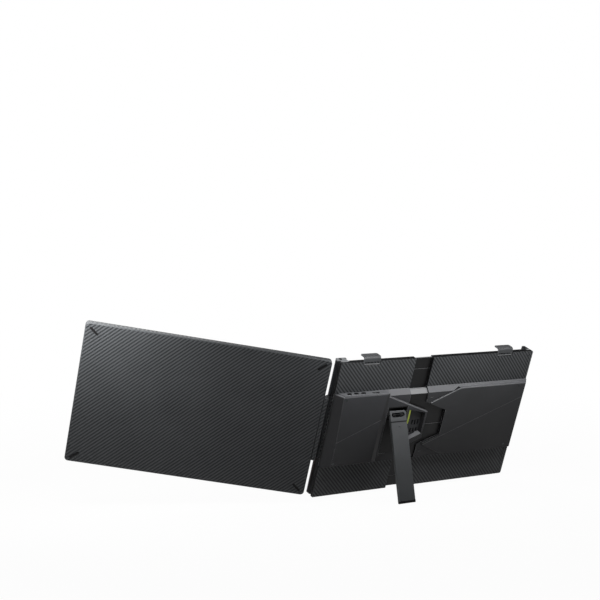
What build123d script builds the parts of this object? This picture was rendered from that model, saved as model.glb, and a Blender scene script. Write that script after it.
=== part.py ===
from build123d import *
import os

os.makedirs("parts", exist_ok=True)

# A second screen for a laptop. A two-part bracket clamps the back of the laptop's lid, and a
# 14 inch screen unit swings on the bracket's end. Millimetres. While it is drawn, the bracket
# stands upright: X runs from the free end (negative) to the screen, Y from the user to the
# back, Z up along the lid, and the hinge axis is at X = 0. At the end everything leans back
# like the lid, and the origin moves to the lower corner of the slot that holds the lid.

# Display and its frame
active_width = 309.4
active_height = 174.0
side_bezel = 7.8
top_bezel = 7.5
chin = 18.5
screen_thick = 8.5
screen_wall = 1.4
bezel_thick = 1.4
bezel_lip = 0.8
panel_margin = 3.0
panel_thick = 1.3
backlight_thick = 1.7
screen_corner = 5.0
screen_edge = 1.2
pad_length = 14.5
pad_width = 2.8
pad_rise = 0.5
pad_side = 12.0
pad_top = 10.5
pad_angle = 40.0
screen_lift = 1.2
rib_count = 4
rib_thick = 2.0
driver_length = 160.0
driver_edge = 3.0

# Lid slot and the layers of the bracket behind it
lid_space = 7.6
lid_pad_thick = 0.8
lip_thick = 3.85
lip_cover = 4.0
end_lip = 2.0
end_round = 3.0
lip_round = 1.0
front_skin = 1.2
tongue_thick = 2.1
back_thick = 3.6
slide_gap = 0.3

# Lengths along the bracket, from the hinge axis
bracket_reach = 337.6
tongue_shown = 31.5
arm_in = 29.0
arm_out = 60.0
side_wall = 3.0
end_foot = 9.0
middle_proud = 0.8
cover_proud = 0.4
slot_wall = 8.5
plate_lap = 7.3
bracket_corner = 2.6
hinge_corner = 1.2
post_corner = 3.2
rim = 0.8
tongue_start = 20.0
slide_end_gap = 1.0
ridge_lap = 29.0
seam_place = 7.0
seam_width = 0.5
groove_place = 17.5
groove_width = 0.9
groove_depth = 0.4

# Hinge
bar_radius = 6.25
pin_radius = 2.5
pin_run = 0.05
pin_grip = 17.0
screen_clear = 0.65
screen_start = 11.8
leaf_start = 6.8
leaf_root = (3.5, 5.2)
leaf_shoulder = 8.5
post_root = 3.8
notch_deep = 2.2
notch_end = 4.0
notch_edge = 12.0
barrel_low = 55.0
barrel_high = 147.2
barrel_gap = 0.3
guard_thick = 1.6
guard_clear = 0.8
hinge_plate_thick = 1.2
hinge_plate_reach = 40.0
hinge_plate_setback = 10.0
hinge_boss = 1.2
hinge_screw_pitch = 17.0
screen_fold = 29.2

# Raised housing across both halves
housing_low = 45.5
housing_high = 155.8
shoulder_rise = 6.5
bevel = 6.5
ridge_rise = 4.7
ridge_gap = 0.4
arm_slab_rise = 2.0
arrow_rise = 4.5
arrow_root = 2.0
arrow_run = 34.0
arrow_edge = 1.2
arrow_top = (153.3, 122.4)
arrow_bottom = (54.0, 80.3)
mate_gap = 0.6
tip_gap = 5.0

# Electronics block
block_left = 6.2
block_right = 70.0
band_width = 8.5
block_rise = 13.7
side_facet = 9.0
block_corner = 4.0
foot_step = 1.5
foot_bevel = 8.5
cover_wall = 2.5
board_thick = 1.6
post_radius = 3.0
screw_radius = 1.0
screw_head = 1.9
screw_bite = 1.0
board_rise = 4.0
board_room = 4.2

# Buttons and ports
button_length = 7.0
button_width = 3.6
button_pitch = 11.7
button_first = 13.5
button_rise = 0.9
button_travel = 0.6
button_gap = 0.25
hdmi_width = 12.4
hdmi_high = 3.6
hdmi_edge = 13.0
usb_width = 9.0
usb_high = 3.2
usb_places = (22.0, 42.0)
usb_sunk = 4.4
hdmi_sunk = 0.3

# Kickstand
leg_width = 27.6
leg_thick = 4.0
leg_length = 120.2
leg_head = 6.3
leg_gap = 0.4
leg_side_edge = 0.4
leg_side_room = 3.0
window_length = 22.6
window_height = 6.0
leg_groove = 9.3
leg_dot = 16.5
pivot_height = 121.3
pivot_sunk = 0.15
cradle_wall = 1.5
cradle_low = 62.0
cradle_room = 6.5
band_to_cradle = 2.8
base_edge = 4.2
foot_length = 3.5
stand_open = 30.5
leg_pin_radius = 1.4
lug_radius = 2.4
lug_length = 4.5
lug_place = 6.5
lug_web = 2.2
lug_lean = 30.0
lug_reach = 10.0

# Top hooks
clip_width = 27.8
clip_thick = 1.4
clip_low = 165.0
clip_top = 206.3
clip_bend = 3.3
clip_corner = 2.5
clip_gap = 0.15
clip_sunk = 1.1
hook_cover = 4.0
hook_pad_in = 0.5
hook_pad_back = 2.0
hook_pad_thick = 0.6
clip_pocket_low = 158.0
clip_window = 195.9
sill_slope = 1.3
blade_slot_low = 196.2
blade_slot_high = 199.0
blade_slot_side = 1.9
left_clip_place = 44.5
right_clip_edge = 54.1

# The laptop's lid leans back by this much
lid_lean = 20.0

# Worked out from the sizes above
height = chin + active_height + top_bezel
screen_width = active_width + 2 * side_bezel
bar_front = -(lid_pad_thick + lid_space + lip_thick)
lip_back = bar_front + lip_thick
axis_y = bar_front + bar_radius
tongue_front = front_skin + slide_gap
tongue_back = tongue_front + tongue_thick
plate_front = tongue_back + slide_gap
back_face = plate_front + back_thick
shoulder_face = back_face + shoulder_rise
ridge_face = back_face + ridge_rise
arm_slab_face = shoulder_face + arm_slab_rise
arrow_face = shoulder_face + arrow_rise
block_face = back_face + block_rise
cradle_right = block_right + band_width + band_to_cradle
channel_right = cradle_right + cradle_wall
leg_place = channel_right + leg_side_room + leg_width / 2
channel_left = leg_place + leg_width / 2 + leg_gap
cradle_left = channel_left + cradle_wall
base_reach = cradle_left + base_edge
arm_start = base_reach + tongue_shown
arm_end = bracket_reach - end_foot
wall_face = bracket_reach - side_wall
cover_end = bracket_reach + cover_proud
tongue_end = arm_end - arm_in - slide_end_gap
ridge_end = arm_start + arm_out + ridge_lap
arrow_start = block_right + arrow_root
arrow_tip = base_reach + arrow_run
blade_back = back_face - clip_sunk
blade_front = blade_back - clip_thick
hook_front = -lid_pad_thick - hook_cover
right_clip_place = bracket_reach - right_clip_edge
screen_front = bar_radius + screen_clear
screen_back = screen_front + screen_thick
screen_end = screen_start + screen_width
fit = 0.1
long_cut = 2 * bracket_reach


def facing(depth):
    """Upright plane at a depth in Y, X to the right and Z up; extrusions run to the front."""
    return Plane.XZ.offset(-depth)


def block(left, right, front, back, low, high, mode=Mode.ADD):
    """Box between two corners in the running part."""
    with Locations(((left + right) / 2, (front + back) / 2, (low + high) / 2)):
        Box(right - left, back - front, high - low, mode=mode)


def shave(plane):
    """Cut away everything in front of a plane."""
    with Locations(plane):
        Box(long_cut, long_cut, long_cut, mode=Mode.SUBTRACT,
            align=(Align.CENTER, Align.CENTER, Align.MIN))


def round_outline(left, right, corner):
    """Keep what lies within an upright outline, rounded at its corners and front edges."""
    with BuildSketch(facing(long_cut / 2)) as back_view:
        with Locations(((left + right) / 2, height / 2)):
            RectangleRounded(right - left, height, corner)
    extrude(to_extrude=back_view.sketch, amount=long_cut, mode=Mode.INTERSECT)
    with BuildSketch(Plane.YZ.offset(-long_cut)) as side_view:
        with Locations(((bar_front + long_cut) / 2, height / 2)):
            RectangleRounded(long_cut - bar_front, height, corner)
    extrude(to_extrude=side_view.sketch, amount=2 * long_cut, mode=Mode.INTERSECT)


# Screen unit, drawn with the hinge axis at X = Y = 0

screen_middle = (screen_start + screen_end) / 2
rim_front = screen_front + bezel_thick
panel_front = screen_front + bezel_lip
panel_back = panel_front + panel_thick
backlight_back = panel_back + backlight_thick
inner_back = screen_back - screen_wall
shell_middle = screen_lift + height / 2
active_middle = screen_lift + chin + active_height / 2

hinge_plate_back = inner_back - hinge_boss
hinge_plate_front = hinge_plate_back - hinge_plate_thick
hinge_plate_low = barrel_low + hinge_plate_setback
hinge_plate_high = barrel_high - hinge_plate_setback
rib_room = screen_end - screen_wall - hinge_plate_reach
hinge_screw_x = (screen_start + hinge_plate_reach) / 2
hinge_screw_places = [(hinge_screw_x, (barrel_low + barrel_high) / 2 + hinge_screw_pitch * step)
                      for step in (-1.5, -0.5, 0.5, 1.5)]

with BuildPart() as screen_back_cover:
    with BuildSketch(facing(screen_back)):
        with Locations((screen_middle, shell_middle)):
            RectangleRounded(screen_width, height, screen_corner)
    extrude(amount=screen_back - rim_front)
    chamfer(screen_back_cover.faces().sort_by(Axis.Y)[-1].edges(), length=screen_edge)
    with BuildSketch(facing(inner_back)):
        with Locations((screen_middle, shell_middle)):
            RectangleRounded(screen_width - 2 * screen_wall, height - 2 * screen_wall,
                             screen_corner - screen_wall)
    extrude(amount=inner_back - rim_front, mode=Mode.SUBTRACT)
    block(screen_start - 1, screen_start + screen_wall + 1, hinge_plate_front - fit,
          hinge_plate_back + fit, hinge_plate_low - fit, hinge_plate_high + fit, Mode.SUBTRACT)
    block(screen_start + screen_wall, hinge_plate_reach, hinge_plate_back, inner_back,
          hinge_plate_low, hinge_plate_high)
    with Locations((hinge_plate_reach + rib_room / 2, (backlight_back + inner_back) / 2,
                    shell_middle)):
        with GridLocations(rib_room / rib_count, 1, rib_count, 1):
            Box(rib_thick, inner_back - backlight_back, height - 2 * screen_wall)
    with Locations(*[Plane(origin=(x, hinge_plate_back, z), z_dir=(0, -1, 0))
                     for x, z in hinge_screw_places]):
        Hole(radius=screw_radius, depth=screw_bite + fit)

with BuildPart() as screen_front_bezel:
    with BuildSketch(facing(rim_front)):
        with Locations((screen_middle, shell_middle)):
            RectangleRounded(screen_width, height, screen_corner)
        with Locations((screen_middle, active_middle)):
            Rectangle(active_width, active_height, mode=Mode.SUBTRACT)
    extrude(amount=bezel_thick)
    with BuildSketch(facing(rim_front)):
        with Locations((screen_middle, active_middle)):
            Rectangle(active_width + 2 * panel_margin + 2 * fit,
                      active_height + 2 * panel_margin + 2 * fit)
    extrude(amount=rim_front - panel_front, mode=Mode.SUBTRACT)
    fillet(screen_front_bezel.faces().sort_by(Axis.Y)[0].outer_wire().edges(), radius=0.7)

with BuildPart() as display_panel:
    with BuildSketch(facing(panel_back)):
        with Locations((screen_middle, active_middle)):
            Rectangle(active_width + 2 * panel_margin, active_height + 2 * panel_margin)
    extrude(amount=panel_thick)

with BuildPart() as backlight_unit:
    with BuildSketch(facing(backlight_back)):
        with Locations((screen_middle, active_middle)):
            RectangleRounded(active_width + 2 * panel_margin, active_height + 2 * panel_margin, 2)
    extrude(amount=backlight_thick)

driver_thick = 1.2
driver_front = backlight_back - driver_thick
driver_left = screen_middle - driver_length / 2
driver_low = screen_lift + driver_edge
driver_high = screen_lift + chin - panel_margin - 1.0
chip_count = 5
chip_length = 9.0
chip_height = 5.0
chip_thick = 0.9

with BuildPart() as driver_board:
    block(driver_left, driver_left + driver_length, driver_front, backlight_back, driver_low,
          driver_high)
    with Locations((screen_middle, driver_front - chip_thick / 2, (driver_low + driver_high) / 2)):
        with GridLocations(driver_length / chip_count, 1, chip_count, 1):
            Box(chip_length, chip_thick, chip_height)

with BuildPart() as screen_pads:
    for side in (-1, 1):
        for end in (-1, 1):
            pad_x = screen_middle + side * (screen_width / 2 - pad_side)
            pad_z = shell_middle + end * (height / 2 - pad_top)
            with BuildSketch(facing(screen_back + pad_rise)):
                with Locations((pad_x, pad_z)):
                    SlotOverall(pad_length, pad_width, rotation=pad_angle * side * end)
            extrude(amount=pad_rise)

with BuildPart() as hinge_leaf:
    with BuildSketch(Plane.XY.offset(barrel_low + barrel_gap)):
        Circle(bar_radius)
        with BuildLine():
            Polyline(leaf_root, (leaf_start, leaf_shoulder), (leaf_start, screen_back),
                     (screen_start, screen_back), (screen_start, screen_front), (bar_radius, 0.0),
                     (0, 0), close=True)
        make_face()
    extrude(amount=barrel_high - barrel_low - 2 * barrel_gap)
    block(leaf_start + 1.2, screen_start + 1, hinge_plate_front - fit, hinge_plate_back + fit,
          hinge_plate_low - fit, hinge_plate_high + fit, Mode.SUBTRACT)
    with Locations(Plane.XY.offset(barrel_high)):
        Hole(radius=pin_radius + pin_run, depth=barrel_high - barrel_low + 1)

with BuildPart() as hinge_plate:
    block(leaf_start + 1.4, hinge_plate_reach, hinge_plate_front, hinge_plate_back,
          hinge_plate_low, hinge_plate_high)
    with Locations(*[Plane(origin=(x, hinge_plate_front, z), z_dir=(0, -1, 0))
                     for x, z in hinge_screw_places]):
        Hole(radius=screw_radius, depth=hinge_plate_thick)

with BuildPart() as hinge_screws:
    for x, z in hinge_screw_places:
        with Locations(Plane(origin=(x, hinge_plate_front, z), z_dir=(0, 1, 0))):
            Cylinder(screw_radius, hinge_plate_thick + screw_bite,
                     align=(Align.CENTER, Align.CENTER, Align.MIN))
            Cylinder(screw_head, 0.8, align=(Align.CENTER, Align.CENTER, Align.MAX))

# Fixed half of the bracket


def post_profile():
    """Section of a hinge post: round bar, front lip and the wall beside the lid."""
    with BuildSketch() as section:
        with Locations((0, axis_y)):
            Circle(bar_radius)
        with Locations(((-slot_wall + post_root) / 2, (axis_y + plate_front) / 2)):
            Rectangle(slot_wall + post_root, plate_front - axis_y)
        with Locations(((-slot_wall - lip_cover) / 2, bar_front + lip_thick / 2)):
            Rectangle(slot_wall + lip_cover, lip_thick)
        with Locations((-slot_wall / 2, (axis_y + lip_back) / 2)):
            Rectangle(slot_wall, abs(axis_y - lip_back))
        fillet(section.vertices().group_by(Axis.X)[0].sort_by(Axis.Y)[0], radius=1.8)
        fillet(section.vertices().group_by(Axis.X)[0].sort_by(Axis.Y)[-1], radius=1.0)
    return section.sketch


def post(low, high, notch_low, notch_high, corner):
    """One hinge post, from low to high, with rounded ends."""
    with BuildPart() as piece:
        extrude(to_extrude=Plane.XY.offset(low) * post_profile(), amount=high - low)
        round_outline(-slot_wall - lip_cover, bar_radius, corner)
        with Locations((0, axis_y, (low + high) / 2)):
            Cylinder(pin_radius, high - low + 2, mode=Mode.SUBTRACT)
        # Scooped finger notch with sloping ends on the outer front of the post
        with BuildSketch(Plane.YZ.offset(bar_radius)):
            with BuildLine():
                Polyline((bar_front - 1, notch_low), (bar_front + notch_deep, notch_low + notch_end),
                         (bar_front + notch_deep, notch_high - notch_end),
                         (bar_front - 1, notch_high), close=True)
            make_face()
        extrude(amount=-bar_radius, mode=Mode.SUBTRACT)
    return piece


hinge_post_lower = post(0, barrel_low, notch_edge, barrel_low - notch_edge, hinge_corner)
hinge_post_upper = post(barrel_high, height, barrel_high + notch_edge, height - notch_edge, post_corner)

with BuildPart() as hinge_pins:
    for joint_height in (barrel_low, barrel_high):
        with Locations((0, axis_y, joint_height)):
            Cylinder(pin_radius, 2 * pin_grip)

with BuildPart() as base_front_plate:
    block(-base_reach, -slot_wall, 0, front_skin, 0, height)
    block(-slot_wall, -slot_wall + guard_thick, axis_y + guard_clear, plate_front, barrel_low,
          barrel_high)


def clip_pocket(place):
    """Pocket for a hook's blade, open at the top and at a back window with a sloping sill."""
    left = -place - clip_width / 2 - clip_gap
    right = -place + clip_width / 2 + clip_gap
    block(left, right, blade_front - clip_gap, blade_back + clip_gap, clip_pocket_low, height + 1,
          Mode.SUBTRACT)
    with BuildSketch(Plane.YZ.offset(left)) as window:
        with BuildLine():
            Polyline((blade_back, clip_window),
                     (back_face + 1, clip_window - sill_slope * (clip_sunk + 1)),
                     (back_face + 1, height + 1), (blade_back, height + 1), close=True)
        make_face()
    extrude(to_extrude=window.sketch, amount=right - left, mode=Mode.SUBTRACT)


upper_low = housing_high + fit
lower_high = housing_low - fit

with BuildPart() as base_upper_plate:
    block(-base_reach, plate_lap, plate_front, back_face, upper_low, height)
    round_outline(-bracket_reach, plate_lap, hinge_corner)
    block(-base_reach, -slot_wall, front_skin, plate_front, height - rim, height)
    clip_pocket(left_clip_place)

with BuildPart() as base_lower_plate:
    block(-base_reach, plate_lap, plate_front, back_face, 0, lower_high)
    round_outline(-bracket_reach, plate_lap, hinge_corner)
    block(-base_reach, -slot_wall, front_skin, plate_front, 0, rim)

lid_pad_height = 150.0
lid_pad_width = 60.0
base_pad_place = base_reach / 2
arm_pad_place = (arm_start + arm_end) / 2

with BuildPart() as base_lid_pad:
    with BuildSketch(facing(0)):
        with Locations((-base_pad_place, height / 2)):
            RectangleRounded(lid_pad_width, lid_pad_height, 4)
    extrude(amount=lid_pad_thick)

tongue_low = rim + slide_gap
tongue_high = height - rim - slide_gap
# Vents: slots in two rows
vent_thick = 1.2
vent_pitch = 5.0
vent_width = 2.4
vent_count = 3
recess_left = base_reach
recess_right = arrow_tip - 3.5
vent_middle = -recess_right + 11.4
vent_rows = ((88.0, 96.0), (100.7, 108.5))

ridge_low = housing_low + 1.5
ridge_high = housing_high - 2.8
ridge_bevel = 5.0
ridge_line = 100.0
tongue_screw_pitch = 55.0
tongue_screw_edge = 28.0
tongue_screw_places = [(base_reach / 2 + side * tongue_screw_pitch / 2,
                        height / 2 + end * (height / 2 - tongue_screw_edge))
                       for side in (-1, 1) for end in (-1, 1)]

with BuildPart() as slide_tongue:
    block(-tongue_end, -tongue_start, tongue_front, tongue_back, tongue_low, tongue_high)
    for groove in (height - groove_place, groove_place):
        block(-tongue_end, -tongue_start, tongue_back - groove_depth, tongue_back + 1,
              groove - groove_width / 2, groove + groove_width / 2, Mode.SUBTRACT)
    with Locations(*[Plane(origin=(-x, tongue_front, z), z_dir=(0, -1, 0))
                     for x, z in tongue_screw_places]):
        Hole(radius=screw_radius, depth=tongue_thick)

with BuildPart() as tongue_screws:
    for x, z in tongue_screw_places:
        with Locations(Plane(origin=(-x, front_skin, z), z_dir=(0, 1, 0))):
            Cylinder(screw_radius, plate_front - front_skin,
                     align=(Align.CENTER, Align.CENTER, Align.MIN))


def ridge_profile(grow, start):
    """Section of the raised middle across the slide, grown by a clearance."""
    with BuildSketch(Plane.YZ) as section:
        with BuildLine():
            Polyline((start, ridge_low - grow), (back_face - ridge_gap, ridge_low - grow),
                     (ridge_face + grow, ridge_low + ridge_bevel * 0.6),
                     (ridge_face + grow, ridge_high - ridge_bevel),
                     (back_face - ridge_gap, ridge_high + grow), (start, ridge_high + grow),
                     close=True)
        make_face()
    return section.sketch


with BuildPart() as tongue_ridge:
    extrude(to_extrude=Plane((-ridge_end, 0, 0)) * ridge_profile(0, tongue_back),
            amount=ridge_end - base_reach)
    with Locations((-(ridge_end + base_reach) / 2, tongue_back, (ridge_low + ridge_high) / 2)):
        Box(ridge_end - base_reach - 6, 2 * (ridge_face - tongue_back - 2),
            ridge_high - ridge_low - 2 * ridge_bevel - 4, mode=Mode.SUBTRACT)
    block(-ridge_end, -base_reach, ridge_face - groove_depth, ridge_face + 1,
          ridge_line - groove_width / 2, ridge_line + groove_width / 2, Mode.SUBTRACT)
    # Opening into the hollow, behind the vents
    block(vent_middle - vent_pitch * vent_count / 2, vent_middle + vent_pitch * vent_count / 2,
          tongue_back + 1, ridge_face + 1, vent_rows[0][0], vent_rows[1][1], Mode.SUBTRACT)


def shoulder_profile():
    """Section of the housing's low shoulder, bevelled at its top and bottom."""
    with BuildSketch(Plane.YZ) as section:
        with BuildLine():
            Polyline((back_face, housing_low), (shoulder_face, housing_low + bevel * 0.6),
                     (shoulder_face, housing_high - bevel), (back_face, housing_high),
                     close=True)
        make_face()
    return section.sketch


# Planes of the block's back: a lower facet and, above the crease, one that falls away to the
# corner beside the screen
crease_drop = 0.6
crease_start = 42.5
crease_end = 71.5
corner_drop = 3.2
top_edge = 4.6
top_bevel = 2.6
bevel_end_drop = 1.4
bevel_end_high = 1.6
crease_left = Vector(block_left - side_facet, block_face - crease_drop,
                     housing_low + crease_start)
crease_right = Vector(-block_right, block_face, housing_low + crease_end)
corner_top = Vector(block_left - side_facet, block_face - corner_drop, housing_high - top_bevel)
bevel_start = Vector(block_left - side_facet, block_face - top_edge, housing_high)
bevel_end = Vector(-block_right, block_face - bevel_end_drop, housing_high - bevel_end_high)
lower_facet_dir = Vector(crease_right.Y - crease_left.Y, crease_left.X - crease_right.X, 0)
lower_facet = Plane(origin=crease_right, z_dir=lower_facet_dir)
upper_facet = Plane(origin=crease_left,
                    z_dir=(crease_right - crease_left).cross(corner_top - crease_left))
foot_facet = Plane(origin=(0, back_face + foot_step, housing_low),
                   z_dir=(0, foot_bevel, -(block_rise - foot_step)))
top_facet = Plane(origin=bevel_start,
                  z_dir=(bevel_end - bevel_start).cross(corner_top - bevel_start) * -1)

cradle_high = pivot_height + leg_head + cradle_room
pivot_y = arrow_face - pivot_sunk
recess_drop = 5.0
recess_slope = 2.5


def recess(inset):
    """Outline of the sunk field for the vents; its sides slope in by the inset."""
    with BuildSketch() as outline:
        with BuildLine():
            Polyline((-recess_left, arrow_top[1] + recess_drop - 0.4 * inset),
                     (-recess_right + inset, arrow_top[1] - 1.4 - inset),
                     (-recess_right + inset, arrow_bottom[1] + 8.4 + inset),
                     (-recess_right + 17.3, arrow_bottom[1] + 1.6 + inset),
                     (-recess_left, arrow_bottom[1] - 1.8 + inset), close=True)
        make_face()
    return outline.sketch


cavity_left = -2.0
cavity_right = block_right + 4.0
cavity_low = housing_low + 6.5
cavity_high = housing_high - cover_wall
main_board_back = back_face + board_rise
cavity_back = main_board_back + board_room
main_board_front = main_board_back - board_thick
main_board_low = cavity_low + 3.0
main_board_high = cavity_high - 7.3
board_post_inset = 4.0
board_bite = 2.4
board_posts = [(x, z) for x in (cavity_left - board_post_inset, -cavity_right + board_post_inset)
               for z in (main_board_low + 5.0, main_board_high - 8.0)]
button_y = back_face + 4.6
button_xs = [-(button_first + button_pitch * i) for i in range(3)]
port_y = main_board_back
hdmi_place = block_right - hdmi_edge

with BuildPart() as electronics_cover:
    with BuildSketch(Plane.XY.offset(housing_low)):
        with BuildLine():
            Polyline((block_left, plate_front), (block_left - side_facet, block_face),
                     (-block_right, block_face), (-block_right - band_width, arrow_face),
                     (-block_right - band_width, plate_front), close=True)
        make_face()
    extrude(amount=housing_high - housing_low)
    for plane in (lower_facet, upper_facet, foot_facet):
        shave(plane)
    side_wall_face = electronics_cover.faces().sort_by(Axis.X)[-1]
    fillet(side_wall_face.edges().sort_by(Axis.Z)[-1], radius=block_corner)
    shave(top_facet)
    extrude(to_extrude=Plane((-base_reach, 0, 0)) * shoulder_profile(), amount=base_reach)
    block(-base_reach, 0, plate_front, back_face, housing_low, housing_high)
    # Arrow-shaped slab that points at the sliding half
    with BuildSketch(facing(arrow_face)):
        with BuildLine():
            Polyline((-arrow_start, arrow_top[0]), (-arrow_tip, arrow_top[1]),
                     (-arrow_tip, arrow_bottom[1]), (-arrow_start, arrow_bottom[0]), close=True)
        make_face()
    extrude(amount=arrow_face - ridge_face)
    tip_edges = electronics_cover.faces().filter_by(Plane.XZ).sort_by(Axis.Y)[-1].edges()
    chamfer(tip_edges.filter_by(lambda e: e.center().X < -block_right - band_width),
            length=arrow_edge)
    # Sunk field for the vents, with sloping sides
    loft(sections=[facing(arrow_face) * recess(0), facing(ridge_face) * recess(recess_slope)],
         mode=Mode.SUBTRACT)
    # Seat of the kickstand's cradle, and a shallow bed for the leg below it
    block(-cradle_left - fit, -cradle_right + fit, plate_front - 1, block_face + 1,
          cradle_low - fit, cradle_high + fit, Mode.SUBTRACT)
    block(-channel_left, -channel_right, pivot_y - leg_thick / 2 - leg_gap, block_face + 1,
          housing_low - 1, cradle_low, Mode.SUBTRACT)
    # Room for the electronics, with screw posts for the main board
    block(-cavity_right, cavity_left, plate_front - 1, cavity_back, cavity_low, cavity_high,
          Mode.SUBTRACT)
    for x, z in board_posts:
        with Locations(Plane(origin=(x, cavity_back, z), z_dir=(0, -1, 0))):
            Cylinder(post_radius, cavity_back - main_board_back,
                     align=(Align.CENTER, Align.CENTER, Align.MIN))
        with Locations(Plane(origin=(x, main_board_back, z), z_dir=(0, -1, 0))):
            Hole(radius=screw_radius, depth=board_bite + fit)
    # Openings for buttons and ports
    for x in button_xs:
        with BuildSketch(Plane.XY.offset(cavity_high - 1)):
            with Locations((x, button_y)):
                SlotOverall(button_length + 2 * button_gap, button_width + 2 * button_gap)
        extrude(amount=cover_wall + 2, mode=Mode.SUBTRACT)
    block(-hdmi_place - hdmi_width / 2 - fit, -hdmi_place + hdmi_width / 2 + fit, port_y - fit,
          port_y + hdmi_high + fit, cavity_high - 1, housing_high + 1, Mode.SUBTRACT)
    for place in usb_places:
        block(-place - usb_width / 2 - fit, -place + usb_width / 2 + fit, port_y - fit,
              port_y + usb_high + fit, housing_low - 1, cavity_low + 1, Mode.SUBTRACT)

board_chip_thick = 1.5
board_middle = (cavity_left - cavity_right) / 2
board_chips = ((board_middle, 100.0, 18.0), (board_middle - 20.0, 85.0, 10.0),
               (board_middle + 18.0, 118.0, 9.0))

with BuildPart() as main_board:
    block(-cavity_right + 1, cavity_left - 1, main_board_front, main_board_back, main_board_low,
          main_board_high)
    for chip_x, chip_z, chip_size in board_chips:
        block(chip_x - chip_size / 2, chip_x + chip_size / 2, main_board_back,
              main_board_back + board_chip_thick, chip_z - chip_size / 2, chip_z + chip_size / 2)
    with Locations(*[Plane(origin=(x, main_board_front, z), z_dir=(0, -1, 0))
                     for x, z in board_posts]):
        Hole(radius=screw_radius, depth=board_thick)

with BuildPart() as board_screws:
    for x, z in board_posts:
        with Locations(Plane(origin=(x, main_board_front, z), z_dir=(0, 1, 0))):
            Cylinder(screw_radius, board_thick + board_bite,
                     align=(Align.CENTER, Align.CENTER, Align.MIN))
            Cylinder(screw_head, 1.0, align=(Align.CENTER, Align.CENTER, Align.MAX))

button_board_top = main_board_high + 1.6
stem_low = button_board_top + 2.6

with BuildPart() as button_board:
    block(button_xs[-1] - 6, button_xs[0] + 6, back_face + 0.6, cavity_back - fit,
          main_board_high, button_board_top)
    for x in button_xs:
        block(x - 2, x + 2, button_y - 1.8, button_y + 1.8, button_board_top,
              stem_low - button_travel - 0.2)


def button(x):
    """Push button: oval cap, stem and a collar that stops it under the wall."""
    with BuildPart() as piece:
        with BuildSketch(Plane.XY.offset(stem_low)):
            with Locations((x, button_y)):
                SlotOverall(button_length, button_width)
        extrude(amount=housing_high + button_rise - stem_low)
        fillet(piece.faces().sort_by(Axis.Z)[-1].edges(), radius=0.4)
        block(x - button_length / 2 - 0.8, x + button_length / 2 + 0.8, button_y - 1.2,
              button_y + 1.2, cavity_high - 1.1, cavity_high - 0.3)
    return piece


button_power, button_up, button_down = [button(x) for x in button_xs]

hdmi_mouth = housing_high - hdmi_sunk
usb_mouth = housing_low + usb_sunk

with BuildPart() as hdmi_port:
    block(-hdmi_place - hdmi_width / 2, -hdmi_place + hdmi_width / 2, port_y,
          port_y + hdmi_high, main_board_high - 6, hdmi_mouth)
    with Locations((-hdmi_place, port_y + hdmi_high / 2, hdmi_mouth)):
        Box(hdmi_width - 1, hdmi_high - 1, 13, mode=Mode.SUBTRACT)
    block(-hdmi_place - 3.6, -hdmi_place + 3.6, port_y + 1.4, port_y + 2.2,
          main_board_high, hdmi_mouth - 1.7)

with BuildPart() as usb_c_ports:
    for place in usb_places:
        with BuildSketch(Plane.XY.offset(usb_mouth)):
            with Locations((-place, port_y + usb_high / 2)):
                SlotOverall(usb_width, usb_high)
                SlotOverall(usb_width - 0.7, usb_high - 0.7, mode=Mode.SUBTRACT)
        extrude(amount=9.0)
        with BuildSketch(Plane.XY.offset(usb_mouth + 1.0)):
            with Locations((-place, port_y + usb_high / 2)):
                Rectangle(usb_width - 3, 0.7)
        extrude(amount=8.0)
        block(-place - usb_width / 2, -place + usb_width / 2, port_y, port_y + usb_high,
              usb_mouth + 8.0, usb_mouth + 9.5)

strip_sunk = 0.3
strip_width = 3.0
strip_low = 106.0
recess_high = 40.0

# Vent insert on the floor of the sunk field
with BuildPart() as vent_grille:
    with BuildSketch(facing(ridge_face + vent_thick)) as grille:
        add(recess(recess_slope + 0.1))
        for row_low, row_high in vent_rows:
            with Locations((vent_middle, (row_low + row_high) / 2)):
                with GridLocations(vent_pitch, 1, vent_count, 1):
                    Rectangle(vent_width, row_high - row_low, mode=Mode.SUBTRACT)
    extrude(amount=vent_thick)

with BuildPart() as accent_strip:
    loft(sections=[facing(arrow_face - strip_sunk) * recess(strip_sunk),
                   facing(ridge_face + vent_thick) * recess(recess_slope)])
    with Locations((-recess_left - strip_width / 2, arrow_face, strip_low + recess_high / 2)):
        Box(strip_width, long_cut, recess_high, mode=Mode.INTERSECT)

pocket_drop = 8.0
pocket_floor = pivot_y - leg_head - leg_thick / 2

# Cradle: a channel, with a deeper pocket behind the leg's head and two lugs that reach up into
# the head's window and hold the pin
with BuildPart() as kickstand_cradle:
    block(-cradle_left, -cradle_right, plate_front, arrow_face, cradle_low, cradle_high)
    block(-channel_left, -channel_right, pivot_y - leg_thick / 2 - leg_gap, arrow_face + 1,
          cradle_low - 1, cradle_high - cradle_wall, Mode.SUBTRACT)
    block(-channel_left, -channel_right, pocket_floor, arrow_face + 1,
          pivot_height - pocket_drop, cradle_high - cradle_wall, Mode.SUBTRACT)
    for side in (-1, 1):
        with BuildSketch(Plane.YZ.offset(-leg_place + side * lug_place - lug_length / 2)):
            with Locations((pivot_y, pivot_height)):
                Circle(lug_radius)
                with Locations(Rotation(0, 0, lug_lean)):
                    Rectangle(lug_reach, lug_web, align=(Align.MAX, Align.CENTER))
        extrude(amount=lug_length)
    with Locations(Plane(origin=(-leg_place, pivot_y, pivot_height), z_dir=(1, 0, 0))):
        Cylinder(leg_pin_radius, leg_width, mode=Mode.SUBTRACT)

collar_radius = 2.3
collar_length = 7.0

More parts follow.
